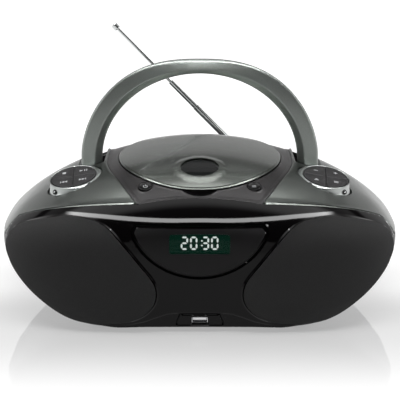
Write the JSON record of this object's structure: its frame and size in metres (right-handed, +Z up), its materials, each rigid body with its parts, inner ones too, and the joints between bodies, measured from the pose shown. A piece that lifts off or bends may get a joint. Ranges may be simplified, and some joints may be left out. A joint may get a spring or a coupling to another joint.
{
  "type": "boombox",
  "caption": "Portable disc and radio player: rounded cabinet, domed disc lid, arched folding handle, side speakers, display and telescopic antenna.",
  "frame": {"origin": "on the resting plane, under the middle of the box that holds the whole part", "axes": "+X to the listener's right, +Y to the back, +Z up"},
  "size_m": [0.3442, 0.2331, 0.2316],
  "materials": {
    "black_gloss": "high gloss black moulded plastic",
    "black_satin": "satin black moulded plastic",
    "gunmetal": "metallic gunmetal lacquer over plastic",
    "cabinet_grey": "fine textured dark grey plastic",
    "grille_black": "perforated sheet, satin black",
    "chrome_trim": "bright chrome plate",
    "smoked_window": "smoked clear plastic",
    "display_glass": "smoked clear plastic",
    "lcd": "negative display, dark green with pale digits",
    "steel": "plain steel",
    "circuit_board": "green lacquered board",
    "speaker_paper": "pressed paper cone",
    "ferrite": "sintered ferrite and zinc plate",
    "rubber": "soft rubber",
    "lens": "coated moulded lens",
    "motor_can": "zinc plated can",
    "contact": "nickel plated spring steel"
  },
  "bodies": {
    "cabinet": {"battery_contacts": "contact", "cabinet_screws": "steel", "centre_deck": "black_satin", "display_bezel": "black_gloss", "display_board": "circuit_board", "display_window": "display_glass", "drive_grommets": "rubber", "drive_plate": "steel", "feet": "rubber", "front_panel": "black_gloss", "grille_left": "grille_black", "grille_right": "grille_black", "handle_pins": "black_satin", "lcd_module": "lcd", "lid_hinge_pins": "steel", "main_board": "circuit_board", "mains_inlet": "black_satin", "pad_seat_left": "chrome_trim", "pad_seat_right": "chrome_trim", "rear_cabinet": "cabinet_grey", "sled_motor": "motor_can", "slide_rails": "steel", "speaker_basket_left": "steel", "speaker_basket_right": "steel", "speaker_cone_left": "speaker_paper", "speaker_cone_right": "speaker_paper", "speaker_magnet_left": "ferrite", "speaker_magnet_right": "ferrite", "spindle_motor": "motor_can", "top_cover_left": "gunmetal", "top_cover_right": "gunmetal", "transformer": "ferrite", "usb_board": "circuit_board", "usb_panel": "black_gloss", "usb_socket": "steel"},
    "lid": {"cd_lid": "gunmetal", "lid_window": "smoked_window"},
    "carry_handle": {"handle": "gunmetal"},
    "disc_turntable": {"turntable": "black_satin"},
    "sled": {"laser_sled": "black_satin", "laser_lens": "lens"},
    "sled_screw": {"lead_screw": "steel"},
    "battery_cover": {"battery_door": "cabinet_grey"},
    "power_key": {"power_button": "black_gloss"},
    "source_key": {"source_button": "black_gloss"},
    "antenna_swivel_base": {"antenna_base": "chrome_trim", "antenna_pin": "steel"},
    "antenna_arm": {"antenna_knuckle": "chrome_trim", "antenna_tube_1": "chrome_trim"},
    "antenna_middle": {"antenna_tube_2": "chrome_trim"},
    "antenna_inner": {"antenna_tube_3": "chrome_trim"},
    "antenna_end": {"antenna_tip": "chrome_trim"},
    "press_key_left_front_left": {"key_left_front_left": "black_satin"},
    "press_key_left_front_right": {"key_left_front_right": "black_satin"},
    "press_key_left_rear_left": {"key_left_rear_left": "black_satin"},
    "press_key_left_rear_right": {"key_left_rear_right": "black_satin"},
    "press_key_right_front_left": {"key_right_front_left": "black_satin"},
    "press_key_right_front_right": {"key_right_front_right": "black_satin"},
    "press_key_right_rear_left": {"key_right_rear_left": "black_satin"},
    "press_key_right_rear_right": {"key_right_rear_right": "black_satin"}
  },
  "joints": [
    {"name": "handle_fold", "type": "hinge", "parent": "cabinet", "child": "carry_handle", "pos_m": [0, 0.004, 0.112], "axis": [-1, 0, 0], "range_deg": [0, 60]},
    {"name": "lid_open", "type": "hinge", "parent": "cabinet", "child": "lid", "pos_m": [0, 0.084, 0.122], "axis": [-1, 0, 0], "range_deg": [0, 25]},
    {"name": "antenna_swivel", "type": "hinge", "parent": "cabinet", "child": "antenna_swivel_base", "pos_m": [0.0667, 0.108, 0.079], "axis": [0, 1, 0], "range_deg": [-45.5, 90]},
    {"name": "antenna_tilt", "type": "hinge", "parent": "antenna_swivel_base", "child": "antenna_arm", "pos_m": [0.0667, 0.108, 0.079], "axis": [-0.7133, 0, -0.7009], "range_deg": [0, 60]},
    {"name": "antenna_pull_middle", "type": "slide", "parent": "antenna_arm", "child": "antenna_middle", "axis": [-0.7009, 0, 0.7133], "range_m": [-0.034, 0.04]},
    {"name": "antenna_pull_inner", "type": "slide", "parent": "antenna_middle", "child": "antenna_inner", "axis": [-0.7009, 0, 0.7133], "range_m": [0, 0.07]},
    {"name": "antenna_pull_tip", "type": "slide", "parent": "antenna_inner", "child": "antenna_end", "axis": [-0.7009, 0, 0.7133], "range_m": [-0.07, 0]},
    {"name": "power_press", "type": "slide", "parent": "cabinet", "child": "power_key", "axis": [0, 0.4067, -0.9135], "range_m": [0, 0.0008], "stiffness_N_per_m": 600},
    {"name": "source_press", "type": "slide", "parent": "cabinet", "child": "source_key", "axis": [0, 0.4067, -0.9135], "range_m": [0, 0.0008], "stiffness_N_per_m": 600},
    {"name": "battery_door_open", "type": "hinge", "parent": "cabinet", "child": "battery_cover", "pos_m": [0, 0.0246, 0.00425], "axis": [-1, 0, 0], "range_deg": [0, 100]},
    {"name": "disc_spin", "type": "hinge", "parent": "cabinet", "child": "disc_turntable", "pos_m": [0, -0.012, 0.105], "axis": [0, 0, 1], "continuous": true},
    {"name": "sled_travel", "type": "slide", "parent": "cabinet", "child": "sled", "axis": [1, 0, 0], "range_m": [0, 0.034]},
    {"name": "screw_turn", "type": "hinge", "parent": "cabinet", "child": "sled_screw", "pos_m": [0.035, 0.009, 0.0839], "axis": [1, 0, 0], "continuous": true},
    {"name": "press_left_front_left", "type": "slide", "parent": "cabinet", "child": "press_key_left_front_left", "axis": [0.1519, 0.2391, -0.959], "range_m": [0, 0.0008], "stiffness_N_per_m": 500},
    {"name": "press_left_front_right", "type": "slide", "parent": "cabinet", "child": "press_key_left_front_right", "axis": [0.1519, 0.2391, -0.959], "range_m": [0, 0.0008], "stiffness_N_per_m": 500},
    {"name": "press_left_rear_left", "type": "slide", "parent": "cabinet", "child": "press_key_left_rear_left", "axis": [0.1519, 0.2391, -0.959], "range_m": [0, 0.0008], "stiffness_N_per_m": 500},
    {"name": "press_left_rear_right", "type": "slide", "parent": "cabinet", "child": "press_key_left_rear_right", "axis": [0.1519, 0.2391, -0.959], "range_m": [0, 0.0008], "stiffness_N_per_m": 500},
    {"name": "press_right_front_left", "type": "slide", "parent": "cabinet", "child": "press_key_right_front_left", "axis": [-0.1519, 0.2391, -0.959], "range_m": [0, 0.0008], "stiffness_N_per_m": 500},
    {"name": "press_right_front_right", "type": "slide", "parent": "cabinet", "child": "press_key_right_front_right", "axis": [-0.1519, 0.2391, -0.959], "range_m": [0, 0.0008], "stiffness_N_per_m": 500},
    {"name": "press_right_rear_left", "type": "slide", "parent": "cabinet", "child": "press_key_right_rear_left", "axis": [-0.1519, 0.2391, -0.959], "range_m": [0, 0.0008], "stiffness_N_per_m": 500},
    {"name": "press_right_rear_right", "type": "slide", "parent": "cabinet", "child": "press_key_right_rear_right", "axis": [-0.1519, 0.2391, -0.959], "range_m": [0, 0.0008], "stiffness_N_per_m": 500}
  ],
  "couplings": [
    {"joint": "screw_turn", "follows": "sled_travel", "rad_per_m": 2094.4}
  ]
}
